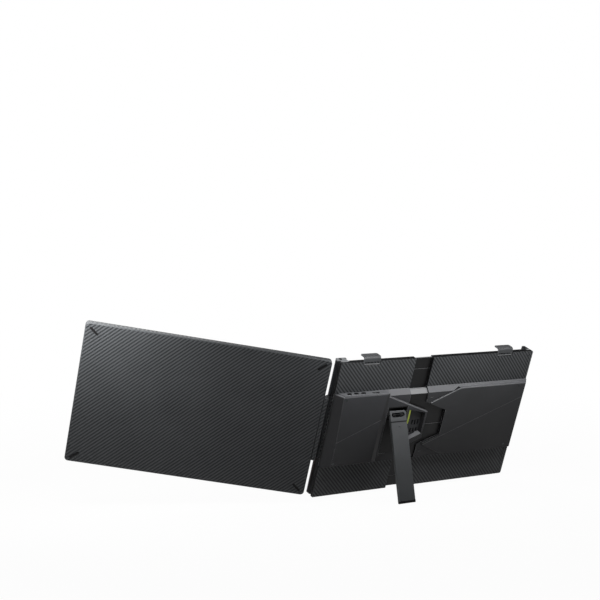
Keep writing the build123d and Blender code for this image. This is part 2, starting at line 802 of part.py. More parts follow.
with BuildPart() as kickstand_pin:
    with Locations(Plane(origin=(-leg_place, pivot_y, pivot_height), z_dir=(1, 0, 0))):
        Cylinder(leg_pin_radius, leg_width - 2 * leg_side_edge)
        Cone(collar_radius, leg_pin_radius, collar_length)

leg_edge = 1.2
dot_radius = 1.1
dot_depth = 1.0
head_cut = 2.6

# Kickstand, drawn closed with its pin at Y = Z = 0
with BuildPart() as kickstand_leg:
    with BuildSketch(Plane.YZ.offset(-leg_place - leg_width / 2)):
        with BuildLine():
            Polyline((-leg_thick / 2, -leg_length + foot_length),
                     (leg_thick / 2, -leg_length + foot_length),
                     (leg_thick / 2, leg_head - leg_edge), (leg_thick / 2 - leg_edge, leg_head),
                     (-leg_thick / 2 + leg_edge, leg_head),
                     (-leg_thick / 2, leg_head - 2 * leg_edge), close=True)
        make_face()
    extrude(amount=leg_width)
    head_corner = kickstand_leg.edges().filter_by(Axis.Y).group_by(Axis.Z)[-1].sort_by(Axis.X)[0]
    chamfer(head_corner, length=head_cut)
    long_edges = kickstand_leg.edges().filter_by(Axis.Z).group_by(Axis.Y)[-1]
    chamfer(long_edges, length=leg_side_edge)
    with BuildSketch(facing(leg_thick)):
        with Locations((-leg_place, 0)):
            SlotOverall(window_length, window_height)
    extrude(amount=2 * leg_thick, mode=Mode.SUBTRACT)
    block(-leg_place - leg_width, -leg_place + leg_width, leg_thick / 2 - groove_depth, leg_thick,
          -leg_groove - groove_width / 2, -leg_groove + groove_width / 2, Mode.SUBTRACT)
    with Locations(Plane(origin=(-leg_place, 0, 0), z_dir=(1, 0, 0))):
        Cylinder(leg_pin_radius + pin_run, leg_width, mode=Mode.SUBTRACT)
    with Locations(Plane(origin=(-leg_place, leg_thick / 2, -leg_dot), z_dir=(0, 1, 0))):
        Hole(radius=dot_radius, depth=dot_depth)

with BuildPart() as kickstand_foot:
    block(-leg_place - leg_width / 2, -leg_place + leg_width / 2, -leg_thick / 2, leg_thick / 2,
          -leg_length, -leg_length + foot_length)
    fillet(kickstand_foot.faces().sort_by(Axis.Z)[0].edges().filter_by(Axis.X), radius=1.8)

# Sliding half of the bracket

slab_high = housing_high - 2.3
slab_low = housing_low + 3.3
slab_start = arm_start + 7.0
slab_edge = 0.8
slab_tip = (1.4, 19.3)
slab_knee = (33.5, 4.6)
slab_run = 49.0
slab_fall = 1.3
slab_crease_left = Vector(-slab_start - slab_tip[0], arm_slab_face, slab_low + slab_tip[1])
slab_crease_right = Vector(-cover_end, arm_slab_face, slab_high - slab_tip[1])
slab_corner = Vector(-cover_end, arm_slab_face - slab_fall, slab_low)
slab_facet = Plane(origin=slab_crease_left,
                   z_dir=(slab_corner - slab_crease_left).cross(slab_crease_right - slab_crease_left))
mark_length = 4.4
mark_width = 1.3
mark_inset = 7.5
notch_inner = arrow_tip + arm_in + tip_gap
top_slope = (arrow_top[0] - arrow_top[1]) / (arrow_tip - arrow_start)
bottom_slope = (arrow_bottom[1] - arrow_bottom[0]) / (arrow_tip - arrow_start)
notch_top = arrow_top[1] + top_slope * (arrow_tip - arm_start + arm_in) + mate_gap
notch_bottom = arrow_bottom[1] - bottom_slope * (arrow_tip - arm_start + arm_in) - mate_gap
notch_rise = top_slope * (notch_inner - arm_start)
notch_fall = bottom_slope * (notch_inner - arm_start)

with BuildPart() as arm_front_plate:
    block(-arm_end, -arm_start, 0, front_skin, 0, height)


def end_seam():
    """Fine groove in an arm plate's back, beside the end bar."""
    block(-bracket_reach + seam_place, -bracket_reach + seam_place + seam_width,
          back_face - groove_depth, back_face + 1, 0, height, Mode.SUBTRACT)


with BuildPart() as arm_upper_plate:
    block(-bracket_reach, -arm_start, plate_front, back_face, upper_low, height)
    round_outline(-bracket_reach, 0, bracket_corner)
    block(-arm_end, -arm_start, front_skin, plate_front, height - rim, height)
    clip_pocket(right_clip_place)
    end_seam()

with BuildPart() as arm_lower_plate:
    block(-bracket_reach, -arm_start, plate_front, back_face, 0, lower_high)
    round_outline(-bracket_reach, 0, bracket_corner)
    block(-arm_end, -arm_start, front_skin, plate_front, 0, rim)
    end_seam()

with BuildPart() as arm_cover:
    extrude(to_extrude=Plane((-cover_end, 0, 0)) * shoulder_profile(),
            amount=cover_end - arm_start)
    block(-bracket_reach, -arm_start, plate_front, back_face, housing_low, housing_high)
    with BuildSketch(facing(arm_slab_face)):
        with BuildLine():
            Polyline((-slab_start, slab_high - slab_tip[1]), (-slab_start - slab_run, slab_high),
                     (-cover_end - 5, slab_high), (-cover_end - 5, slab_low),
                     (-slab_start - slab_run, slab_low),
                     (-slab_start - slab_knee[0], slab_low + slab_knee[1]),
                     (-slab_start - slab_tip[0], slab_low + slab_tip[1]), close=True)
        make_face()
    extrude(amount=arm_slab_face - back_face)
    chamfer(arm_cover.faces().filter_by(Plane.XZ).sort_by(Axis.Y)[-1].edges(), length=slab_edge)
    block(-cover_end - 6, -cover_end, 0, arm_slab_face + 1, 0, height, Mode.SUBTRACT)
    shave(slab_facet)
    shave(Plane(origin=(-cover_end, back_face + 1.0, 0), z_dir=(-7.5, 7.0, 0)))
    # Small marks pressed into the shoulder beside the notch
    with BuildSketch(facing(shoulder_face)):
        with Locations((-arm_start - mark_inset, housing_high - 13.8),
                       (-arm_start - mark_inset, housing_low + 13.0)):
            SlotOverall(mark_length, mark_width)
    extrude(amount=groove_depth, mode=Mode.SUBTRACT)
    # Notch that takes the arrow when the bracket is pushed together
    with BuildSketch(facing(arm_slab_face + 1)):
        with BuildLine():
            Polyline((-arm_start + 1, notch_top + top_slope), (-notch_inner, notch_top - notch_rise),
                     (-notch_inner, notch_bottom + notch_fall),
                     (-arm_start + 1, notch_bottom - bottom_slope), close=True)
        make_face()
    extrude(amount=arm_slab_face + 2 - plate_front, mode=Mode.SUBTRACT)
    # Tunnel for the tongue's raised middle
    extrude(to_extrude=Plane((-arm_end, 0, 0)) * ridge_profile(ridge_gap, plate_front - 1),
            amount=arm_end, mode=Mode.SUBTRACT)

with BuildPart() as arm_lid_pad:
    with BuildSketch(facing(0)):
        with Locations((-arm_pad_place, height / 2)):
            RectangleRounded(lid_pad_width, lid_pad_height, 4)
    extrude(amount=lid_pad_thick)


def end_bar(low, high, proud):
    """One length of the end bar: side wall and a lip over the lid's front edge."""
    with BuildPart() as piece:
        with BuildSketch(Plane.XY.offset(low)) as section:
            with BuildLine():
                Polyline((-arm_end, plate_front), (-bracket_reach - proud, plate_front),
                         (-bracket_reach - proud, bar_front), (-wall_face + end_lip, bar_front),
                         (-wall_face + end_lip, lip_back), (-wall_face, lip_back),
                         (-wall_face, 0), (-arm_end, 0), close=True)
            make_face()
            front = section.vertices().group_by(Axis.Y)[0].sort_by(Axis.X)
            fillet(front[0], radius=end_round)
            fillet(front[-1], radius=lip_round)
        extrude(amount=high - low)
    return piece


def outer_bar(low, high):
    """A length of the end bar that ends at the bracket's rounded corner."""
    piece = end_bar(low, high, 0)
    with BuildPart() as rounded:
        add(piece.part)
        round_outline(-bracket_reach, 0, bracket_corner)
    return rounded


end_bar_lower = outer_bar(0, barrel_low)
end_bar_middle = end_bar(barrel_low, barrel_high, middle_proud)
end_bar_upper = outer_bar(barrel_high, height)

# Small screw heads in the corners of both covers
screw_head_rise = 0.3
screw_head_radius = 1.7
slab_plane = Plane(origin=(0, arm_slab_face, 0), z_dir=(0, 1, 0))


def screw_heads(places):
    """Screw heads lying on faces of a cover, each given as a face and a spot in front of it."""
    with BuildPart() as heads:
        for face, x, z in places:
            spot = Vector(x, 0, z)
            depth = (face.origin - spot).dot(face.z_dir) / face.z_dir.Y
            with Locations(Plane(origin=spot + Vector(0, depth, 0), z_dir=face.z_dir)):
                Cylinder(screw_head_radius, screw_head_rise,
                         align=(Align.CENTER, Align.CENTER, Align.MIN))
    return heads


cover_screws = screw_heads([(upper_facet, -6.3, housing_high - 5.8),
                            (lower_facet, -5.0, housing_low + 11.0)])
arm_cover_screws = screw_heads([(slab_plane, -arm_end + 10.0, slab_high - 4.2),
                                (slab_facet, -arm_end + 10.0, slab_low + 5.5)])

# Top hooks


def clip(place):
    """Sheet metal hook: slotted blade in the plate's pocket, bent over the lid's top edge."""
    middle = blade_back - clip_thick / 2
    with BuildPart() as piece:
        with BuildSketch(Plane.YZ.offset(-place - clip_width / 2)):
            with BuildLine() as path:
                Polyline((middle, clip_low), (middle, clip_top - clip_thick / 2),
                         (hook_front, clip_top - clip_thick / 2))
                bend = path.vertices().filter_by(lambda v: v.X > 0).sort_by(Axis.Y)[-1]
                fillet(bend, radius=clip_bend)
            trace(line_width=clip_thick)
        extrude(amount=clip_width)
        tip_corners = piece.faces().sort_by(Axis.Y)[0].edges().filter_by(Axis.Z)
        fillet(tip_corners, radius=clip_corner)
        block(-place - clip_width / 2 + blade_slot_side, -place + clip_width / 2 - blade_slot_side,
              blade_front - 1, blade_back + 1, blade_slot_low, blade_slot_high, Mode.SUBTRACT)
    return piece


def clip_pad(place):
    """Thin silicone pad under the hook."""
    with BuildPart() as piece:
        block(-place - clip_width / 2 + 2, -place + clip_width / 2 - 2, hook_front + hook_pad_in,
              hook_pad_back, clip_top - clip_thick - hook_pad_thick, clip_top - clip_thick)
    return piece


left_clip = clip(left_clip_place)
right_clip = clip(right_clip_place)
left_clip_pad = clip_pad(left_clip_place)
right_clip_pad = clip_pad(right_clip_place)

# Place and write every piece

lean = Location((0, 0, 0), (-lid_lean, 0, 0)) * Location((slot_wall, lid_pad_thick, 0))
open_screen = lean * Location((0, axis_y, 0), (0, 0, -screen_fold))
open_stand = lean * Location((0, pivot_y, pivot_height), (stand_open, 0, 0))

screen_pieces = {
    "screen_back_cover": screen_back_cover,
    "screen_front_bezel": screen_front_bezel,
    "display_panel": display_panel,
    "backlight_unit": backlight_unit,
    "driver_board": driver_board,
    "screen_pads": screen_pads,
    "hinge_leaf": hinge_leaf,
    "hinge_plate": hinge_plate,
    "hinge_screws": hinge_screws,
}
stand_pieces = {
    "kickstand_leg": kickstand_leg,
    "kickstand_foot": kickstand_foot,
}
bracket_pieces = {
    "hinge_post_lower": hinge_post_lower,
    "hinge_post_upper": hinge_post_upper,
    "hinge_pins": hinge_pins,
    "base_front_plate": base_front_plate,
    "base_upper_plate": base_upper_plate,
    "base_lower_plate": base_lower_plate,
    "base_lid_pad": base_lid_pad,
    "slide_tongue": slide_tongue,
    "tongue_screws": tongue_screws,
    "tongue_ridge": tongue_ridge,
    "electronics_cover": electronics_cover,
    "main_board": main_board,
    "board_screws": board_screws,
    "button_board": button_board,
    "button_power": button_power,
    "button_up": button_up,
    "button_down": button_down,
    "hdmi_port": hdmi_port,
    "usb_c_ports": usb_c_ports,
    "vent_grille": vent_grille,
    "accent_strip": accent_strip,
    "cover_screws": cover_screws,
    "kickstand_cradle": kickstand_cradle,
    "kickstand_pin": kickstand_pin,
    "arm_front_plate": arm_front_plate,
    "arm_upper_plate": arm_upper_plate,
    "arm_lower_plate": arm_lower_plate,
    "arm_cover": arm_cover,
    "arm_cover_screws": arm_cover_screws,
    "arm_lid_pad": arm_lid_pad,
    "end_bar_lower": end_bar_lower,
    "end_bar_middle": end_bar_middle,
    "end_bar_upper": end_bar_upper,
    "left_clip": left_clip,
    "right_clip": right_clip,
    "left_clip_pad": left_clip_pad,
    "right_clip_pad": right_clip_pad,
}

for place, group in ((open_screen, screen_pieces), (open_stand, stand_pieces),
                     (lean, bracket_pieces)):
    for name, piece in group.items():
        piece.part.label = name
        export_step(piece.part.moved(place), f"parts/{name}.step")
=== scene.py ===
import bpy
import bmesh
import math
from mathutils import Matrix, Vector


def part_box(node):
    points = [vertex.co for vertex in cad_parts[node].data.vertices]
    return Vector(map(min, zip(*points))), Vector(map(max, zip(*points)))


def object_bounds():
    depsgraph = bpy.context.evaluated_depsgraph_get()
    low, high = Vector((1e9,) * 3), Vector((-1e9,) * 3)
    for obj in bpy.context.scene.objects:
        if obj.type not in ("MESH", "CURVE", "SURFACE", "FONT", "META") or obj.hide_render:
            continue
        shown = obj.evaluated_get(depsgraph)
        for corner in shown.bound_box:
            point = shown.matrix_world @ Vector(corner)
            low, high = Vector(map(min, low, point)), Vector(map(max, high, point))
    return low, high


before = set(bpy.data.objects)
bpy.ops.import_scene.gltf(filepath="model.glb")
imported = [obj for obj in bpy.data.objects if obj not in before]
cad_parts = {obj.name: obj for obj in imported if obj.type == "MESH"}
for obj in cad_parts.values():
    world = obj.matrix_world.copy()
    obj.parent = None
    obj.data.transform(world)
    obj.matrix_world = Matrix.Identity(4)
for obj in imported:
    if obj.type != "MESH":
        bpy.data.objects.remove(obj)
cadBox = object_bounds()
scene = bpy.context.scene
print("Frame loaded")

# The bracket leans back with the lid, and the screen is swung on from its plane at rest
stance = {"lean": 20, "fold": -29.2, "hingeFromOrigin": (0.0085, 0.0008, 0)}

leanAngle = math.radians(stance["lean"])
alongUp = Vector((0, math.sin(leanAngle), math.cos(leanAngle)))
alongBack = Vector((0, math.cos(leanAngle), -math.sin(leanAngle)))
alongSide = Vector((1, 0, 0))
slotCorner = Vector(stance["hingeFromOrigin"])
screenTurn = Matrix.Rotation(math.radians(stance["fold"]), 3, alongUp)
screenSide = screenTurn @ alongSide


def onBracket(across, back, up):
    return alongSide * (across + slotCorner.x) + alongBack * (back + slotCorner.y) + alongUp * up


camera = {
    "right": (-0.8223, 0.5689, 0.0002),
    "up": (-0.0286, -0.0421, 0.9982),
    "place": (1.12830, 1.58785, 0.36429),
    "lens": 86.03,
    "sensor": 36,
    "farthest": 30,
}


def addCamera(settings):
    data = bpy.data.cameras.new("camera")
    data.sensor_width = settings["sensor"]
    data.lens = settings["lens"]
    data.clip_end = settings["farthest"]
    obj = bpy.data.objects.new("camera", data)
    right = Vector(settings["right"]).normalized()
    up = Vector(settings["up"])
    up = (up - right * up.dot(right)).normalized()
    turn = Matrix((right, up, right.cross(up))).transposed()
    obj.matrix_world = Matrix.Translation(settings["place"]) @ turn.to_4x4()
    scene.collection.objects.link(obj)
    scene.camera = obj


addCamera(camera)
print("Camera placed")


# Shorter ways to add and join nodes
class Tree:
    def __init__(self, tree):
        self.tree = tree

    def node(self, kind, **settings):
        made = self.tree.nodes.new(kind)
        for key, value in settings.items():
            setattr(made, key, value)
        return made

    def link(self, source, target):
        self.tree.links.new(source, target)

    def feed(self, socket, value):
        if isinstance(value, bpy.types.NodeSocket):
            self.link(value, socket)
        else:
            socket.default_value = value

    def math(self, operation, *values, clamp=False):
        made = self.node("ShaderNodeMath", operation=operation, use_clamp=clamp)
        for socket, value in zip(made.inputs, values):
            self.feed(socket, value)
        return made.outputs[0]

    def dot(self, vector, direction):
        made = self.node("ShaderNodeVectorMath", operation="DOT_PRODUCT")
        self.feed(made.inputs[0], vector)
        isSocket = isinstance(direction, bpy.types.NodeSocket)
        self.feed(made.inputs[1], direction if isSocket else tuple(direction))
        return made.outputs["Value"]

    # Rises from 0 where the value passes start, and stops at 1
    def past(self, value, start, gain):
        return self.math("MULTIPLY", self.math("SUBTRACT", value, start), gain, clamp=True)

    def mix(self, factor, first, second):
        made = self.node("ShaderNodeMix", data_type="RGBA")
        self.feed(made.inputs[0], factor)
        self.feed(made.inputs[6], first)
        self.feed(made.inputs[7], second)
        return made.outputs[2]

    def blend(self, factor, low, high):
        made = self.node("ShaderNodeMapRange", clamp=True)
        self.feed(made.inputs["Value"], factor)
        made.inputs["To Min"].default_value = low
        made.inputs["To Max"].default_value = high
        return made.outputs["Result"]

    def ramp(self, factor, stops):
        made = self.node("ShaderNodeValToRGB")
        while len(made.color_ramp.elements) < len(stops):
            made.color_ramp.elements.new(0.5)
        for element, (place, colour) in zip(made.color_ramp.elements, stops):
            element.position = place
            element.color = (*colour, 1)
        self.feed(made.inputs[0], factor)
        return made.outputs[0]

    def noise(self, vector, scale, detail=2.0):
        made = self.node("ShaderNodeTexNoise")
        self.feed(made.inputs["Vector"], vector)
        made.inputs["Scale"].default_value = scale
        made.inputs["Detail"].default_value = detail
        return made.outputs["Fac"]

    def bump(self, height, strength, distance):
        made = self.node("ShaderNodeBump")
        self.feed(made.inputs["Height"], height)
        made.inputs["Strength"].default_value = strength
        made.inputs["Distance"].default_value = distance
        return made.outputs["Normal"]


def newGroup(name, inputs, outputs):
    group = bpy.data.node_groups.new(name, "ShaderNodeTree")
    for label, kind, value in inputs:
        socket = group.interface.new_socket(name=label, in_out="INPUT", socket_type=kind)
        if value is not None:
            socket.default_value = value
    for label, kind in outputs:
        group.interface.new_socket(name=label, in_out="OUTPUT", socket_type=kind)
    tree = Tree(group)
    return group, tree, tree.node("NodeGroupInput"), tree.node("NodeGroupOutput")


def srgb(level):
    return level / 12.92 if level <= 0.04045 else ((level + 0.055) / 1.055) ** 2.4


def hexColour(code):
    return tuple(srgb(int(code[i:i + 2], 16) / 255) for i in (0, 2, 4))


def paint(code):
    return (*hexColour(code), 1)


# Woven cloth look printed on the shells: flat tows, over two and under two
twillShape = {"repeat": 4.0, "over": 2.0, "threads": 44.0}


def buildTwill(shape):
    group, t, start, end = newGroup("carbonTwill",
        [("Across", "NodeSocketFloat", 0), ("Along", "NodeSocketFloat", 0),
         ("Tow", "NodeSocketFloat", 0.0012)],
        [("Weave", "NodeSocketFloat"), ("Height", "NodeSocketFloat"),
         ("Fibre", "NodeSocketFloat")])
    tow = start.outputs["Tow"]
    across = t.math("DIVIDE", start.outputs["Across"], tow)
    along = t.math("DIVIDE", start.outputs["Along"], tow)
    step = t.math("ADD", t.math("FLOOR", across), t.math("FLOOR", along))
    over = t.math("LESS_THAN", t.math("FLOORED_MODULO", step, shape["repeat"]),
                  shape["over"])
    acrossPart = t.math("FRACT", across)
    alongPart = t.math("FRACT", along)
    warpCrown = t.math("SINE", t.math("MULTIPLY", acrossPart, math.pi))
    weftCrown = t.math("SINE", t.math("MULTIPLY", alongPart, math.pi))
    crown = t.node("ShaderNodeMix", data_type="FLOAT")
    t.feed(crown.inputs[0], over)
    t.feed(crown.inputs[2], weftCrown)
    t.feed(crown.inputs[3], warpCrown)
    threads = t.node("ShaderNodeMix", data_type="FLOAT")
    t.feed(threads.inputs[0], over)
    t.feed(threads.inputs[2], t.math("SINE", t.math("MULTIPLY", along, shape["threads"])))
    t.feed(threads.inputs[3], t.math("SINE", t.math("MULTIPLY", across, shape["threads"])))
    t.link(over, end.inputs["Weave"])
    t.link(crown.outputs[0], end.inputs["Height"])
    t.link(threads.outputs[0], end.inputs["Fibre"])
    return group


# Lighter edges, partly worn and partly a painted highlight, from how far the rounded normal leaves
# the true one, and more so on top, where the painted highlight stands for light from above
wornAndLitEdgeShape = {"samples": 6, "begins": 0.995, "full": 0.80, "patchScale": 90.0,
           "patchDetail": 3.0, "topHighlightGain": 3.0, "sideShare": 0.6}


def buildEdgeWearAndHighlight(shape):
    group, t, start, end = newGroup("edgeWearAndHighlight",
        [("Width", "NodeSocketFloat", 0.0006), ("Patchiness", "NodeSocketFloat", 0.3)],
        [("Mask", "NodeSocketFloat")])
    rounded = t.node("ShaderNodeBevel", samples=shape["samples"])
    t.link(start.outputs["Width"], rounded.inputs["Radius"])
    geometry = t.node("ShaderNodeNewGeometry")
    edge = t.node("ShaderNodeMapRange", clamp=True)
    t.link(t.dot(rounded.outputs["Normal"], geometry.outputs["Normal"]), edge.inputs["Value"])
    edge.inputs["From Min"].default_value = shape["begins"]
    edge.inputs["From Max"].default_value = shape["full"]
    coords = t.node("ShaderNodeTexCoord")
    patches = t.noise(coords.outputs["Object"], shape["patchScale"], shape["patchDetail"])
    keep = t.math("SUBTRACT", 1.0, t.math("MULTIPLY", patches, start.outputs["Patchiness"]))
    lift = t.node("ShaderNodeVectorMath", operation="SUBTRACT")
    t.link(rounded.outputs["Normal"], lift.inputs[0])
    t.link(geometry.outputs["Normal"], lift.inputs[1])
    # Painted highlight: edges that turn upwards take more of the lighter colour
    upper = t.math("MULTIPLY_ADD", t.dot(lift.outputs[0], (0, 0, 1)), shape["topHighlightGain"],
                   shape["sideShare"], clamp=True)
    wornAndLitMask = t.math("MULTIPLY", edge.outputs[0], keep, clamp=True)
    t.link(t.math("MULTIPLY", wornAndLitMask, upper), end.inputs["Mask"])
    return group


# Fine spark-eroded grain of moulded plastic, over broad clouds of tone
grainShape = {"fineDetail": 2.0, "cloudScale": 22.0, "cloudDetail": 3.0}


def buildGrain(shape):
    group, t, start, end = newGroup("mouldGrain",
        [("Scale", "NodeSocketFloat", 1500.0)],
        [("Height", "NodeSocketFloat"), ("Cloud", "NodeSocketFloat")])
    coords = t.node("ShaderNodeTexCoord")
    fine = t.node("ShaderNodeTexNoise")
    t.link(coords.outputs["Object"], fine.inputs["Vector"])
    t.link(start.outputs["Scale"], fine.inputs["Scale"])
    fine.inputs["Detail"].default_value = shape["fineDetail"]
    t.link(fine.outputs["Fac"], end.inputs["Height"])
    cloud = t.noise(coords.outputs["Object"], shape["cloudScale"], shape["cloudDetail"])
    t.link(cloud, end.inputs["Cloud"])
    return group


# A thin line through a point, for painted highlights along facet edges and painted shade in
# grooves
def buildCrease():
    group, t, start, end = newGroup("creaseLine",
        [("Start", "NodeSocketVector", None), ("Direction", "NodeSocketVector", None),
         ("Width", "NodeSocketFloat", 0.0003)],
        [("Mask", "NodeSocketFloat")])
    coords = t.node("ShaderNodeTexCoord")
    away = t.node("ShaderNodeVectorMath", operation="SUBTRACT")
    t.link(coords.outputs["Object"], away.inputs[0])
    t.link(start.outputs["Start"], away.inputs[1])
    side = t.node("ShaderNodeVectorMath", operation="CROSS_PRODUCT")
    t.link(away.outputs[0], side.inputs[0])
    t.link(start.outputs["Direction"], side.inputs[1])
    reach = t.node("ShaderNodeVectorMath", operation="LENGTH")
    t.link(side.outputs[0], reach.inputs[0])
    ratio = t.math("DIVIDE", reach.outputs["Value"], start.outputs["Width"])
    t.link(t.math("SUBTRACT", 1.0, ratio, clamp=True), end.inputs["Mask"])
    return group


twill = buildTwill(twillShape)
crease = buildCrease()
edgeWearAndHighlight = buildEdgeWearAndHighlight(wornAndLitEdgeShape)
mouldGrain = buildGrain(grainShape)


def placeGroup(t, group, **values):
    made = t.node("ShaderNodeGroup", node_tree=group)
    for name, value in values.items():
        t.feed(made.inputs[name], value)
    return made


def newMaterial(name, roughness=0.5, metallic=0.0, specular=0.3):
    material = bpy.data.materials.new(name)
    material.use_nodes = True
    t = Tree(material.node_tree)
    shader = material.node_tree.nodes["Principled BSDF"]
    shader.inputs["Roughness"].default_value = roughness
    shader.inputs["Metallic"].default_value = metallic
    shader.inputs["Specular IOR Level"].default_value = specular
    return material, t, shader


weaveFinish = {"light": "5e6062", "dark": "222426", "edge": "7c7e80", "tow": 0.00139,
               "roughness": 0.42, "underTow": 0.08, "overTow": 0.06, "backFacing": 0.97,
               "weaveShare": 0.8, "cloudShare": 0.3, "darken": 0.05, "fibre": 0.12,
               "bump": 0.25, "depth": 0.0001, "edgeWidth": 0.0005, "patchiness": 0.3,
               "grainScale": 400.0}


# The slant is 1 or -1 and says which way the diagonals of the cloth run
def weaveMaterial(name, side, up, slant, back, plain, settings=weaveFinish):
    material, t, shader = newMaterial(name, settings["roughness"])
    texture = t.node("ShaderNodeTexCoord")
    coords = texture.outputs["Object"]
    onBack = t.math("GREATER_THAN", t.dot(texture.outputs["Normal"], back),
                    settings["backFacing"])
    across = t.dot(coords, side)
    along = t.math("MULTIPLY", t.dot(coords, up), slant)
    cloth = placeGroup(t, twill, Across=across, Along=along, Tow=settings["tow"])
    wearAndHighlight = placeGroup(t, edgeWearAndHighlight, Width=settings["edgeWidth"],
                      Patchiness=settings["patchiness"])
    grain = placeGroup(t, mouldGrain, Scale=settings["grainScale"])
    tone = t.math("ADD", t.math("MULTIPLY", cloth.outputs["Weave"], settings["weaveShare"]),
                  t.math("MULTIPLY", grain.outputs["Cloud"], settings["cloudShare"]))
    shade = t.mix(t.math("SUBTRACT", tone, settings["darken"], clamp=True),
                  paint(settings["dark"]), paint(settings["light"]))
    shade = t.mix(onBack, paint(plain), shade)
    # Edges take the lighter edge colour, partly worn and partly a painted highlight
    t.link(t.mix(wearAndHighlight.outputs["Mask"], shade, paint(settings["edge"])),
           shader.inputs["Base Color"])
    t.link(t.blend(cloth.outputs["Weave"], settings["roughness"] + settings["underTow"],
                   settings["roughness"] - settings["overTow"]), shader.inputs["Roughness"])
    height = t.math("ADD", cloth.outputs["Height"],
                    t.math("MULTIPLY", cloth.outputs["Fibre"], settings["fibre"]))
    t.link(t.bump(t.math("MULTIPLY", height, onBack), settings["bump"], settings["depth"]),
           shader.inputs["Normal"])
    return material


# Shared by all moulded and painted pieces; each pair is where a facing begins and how fast. The
# under colour is painted shade on faces that look down, and the groove colour is painted shade in
# grooves
moulded = {"grooveShade": "0c0c0d", "under": "111112", "highlightLineShare": 0.45, "grooveShadeShare": 1.6,
           "cloud": 0.25, "patchiness": 0.25, "smoother": 0.05, "rougher": 0.06,
           "depth": 0.00005, "upward": (0.35, 5.0), "sideways": (0.12, 6.0),
           "outward": (0.15, 6.0), "downward": (0.3, 5.0)}


def plasticMaterial(name, colour, roughness, edge, width=0.0005, grainScale=1500.0, grain=0.15,
                    lines=(), rimHighlight=None, foot=None, sideShade=None, grooveShades=()):
    material, t, shader = newMaterial(name, roughness)
    place = t.node("ShaderNodeTexCoord")
    facing = place.outputs["Normal"]
    texture = placeGroup(t, mouldGrain, Scale=grainScale)
    wearAndHighlight = placeGroup(t, edgeWearAndHighlight, Width=width, Patchiness=moulded["patchiness"])
    base = hexColour(colour)
    darker = tuple(c * (1 - moulded["cloud"]) for c in base)
    lighter = tuple(c * (1 + moulded["cloud"]) for c in base)
    shade = t.mix(texture.outputs["Cloud"], (*darker, 1), (*lighter, 1))
    # Painted shade: darker towards the foot
    if foot:
        low, high, footShadeColour = foot
        climb = t.math("SUBTRACT", t.dot(place.outputs["Object"], alongUp), low)
        shade = t.mix(t.math("DIVIDE", climb, high - low, clamp=True), paint(footShadeColour), shade)
    if rimHighlight or sideShade:
        upward = t.past(t.dot(facing, alongUp), *moulded["upward"])
    # Painted highlight: faces that look up take the lighter colour
    if rimHighlight:
        shade = t.mix(upward, shade, paint(rimHighlight))
    if sideShade:  # painted shade: walls and side facets turn darker, but not the slanted rims that look up
        turned = t.math("ABSOLUTE", t.dot(facing, alongSide))
        sideways = t.past(turned, *moulded["sideways"])
        outward = t.past(t.dot(facing, alongBack), *moulded["outward"])
        rim = t.math("MULTIPLY", upward, outward)
        shade = t.mix(t.math("MULTIPLY", sideways, t.math("SUBTRACT", 1.0, rim)), shade,
                      paint(sideShade))
        # Painted shade: faces that look down take the under colour
        under = t.past(t.dot(facing, -alongUp), *moulded["downward"])
        shade = t.mix(under, shade, paint(moulded["under"]))
    # The edge colour goes on worn edges and on painted highlights along edges and facet creases
    light = wearAndHighlight.outputs["Mask"]
    # Painted highlight: light strokes along facet creases
    for start, end in lines:
        line = placeGroup(t, crease, Start=start, Direction=(end - start).normalized())
        drawn = t.math("MULTIPLY", line.outputs["Mask"], moulded["highlightLineShare"])
        light = t.math("ADD", light, drawn, clamp=True)
    shade = t.mix(light, shade, paint(edge))
    # Painted shade: dark strokes in grooves
    for start, end, width in grooveShades:
        grooveShade = placeGroup(t, crease, Start=start, Direction=(end - start).normalized(),
                          Width=width)
        drawn = t.math("MULTIPLY", grooveShade.outputs["Mask"], moulded["grooveShadeShare"], clamp=True)
        shade = t.mix(drawn, shade, paint(moulded["grooveShade"]))
    t.link(shade, shader.inputs["Base Color"])
    t.link(t.blend(texture.outputs["Cloud"], roughness - moulded["smoother"],
                   roughness + moulded["rougher"]), shader.inputs["Roughness"])
    t.link(t.bump(texture.outputs["Height"], grain, moulded["depth"]), shader.inputs["Normal"])
    return material


brushing = {"scale": 900.0, "darker": 0.8, "lighter": 1.2, "edge": 0.0004, "patchiness": 0.2,
            "smoother": 0.06, "rougher": 0.08, "depth": 0.00003, "strength": 0.12}


def metalMaterial(name, colour, roughness, direction, edge):
    material, t, shader = newMaterial(name, roughness, metallic=1.0)
    coords = t.node("ShaderNodeTexCoord").outputs["Object"]
    stretch = t.node("ShaderNodeVectorMath", operation="MULTIPLY")
    t.feed(stretch.inputs[0], coords)
    stretch.inputs[1].default_value = direction
    lines = t.noise(stretch.outputs[0], brushing["scale"])
    wearAndHighlight = placeGroup(t, edgeWearAndHighlight, Width=brushing["edge"],
                      Patchiness=brushing["patchiness"])
    base = hexColour(colour)
    shade = t.mix(lines, (*(c * brushing["darker"] for c in base), 1),
                  (*(min(1, c * brushing["lighter"]) for c in base), 1))
    # Edges take the lighter edge colour, partly worn and partly a painted highlight
    t.link(t.mix(wearAndHighlight.outputs["Mask"], shade, paint(edge)), shader.inputs["Base Color"])
    t.link(t.blend(lines, roughness - brushing["smoother"],
                   roughness + brushing["rougher"]), shader.inputs["Roughness"])
    t.link(t.bump(lines, brushing["strength"], brushing["depth"]), shader.inputs["Normal"])
    return material


screenWeave = weaveMaterial("screenWeave", screenSide, alongUp, 1.0, screenTurn @ alongBack,
                            "4c4e50")
# The bracket plates' faces other than the back are near-black: painted shade in the gaps between
# parts
bracketWeave = weaveMaterial("bracketWeave", alongSide, alongUp, -1.0, alongBack, "141516")

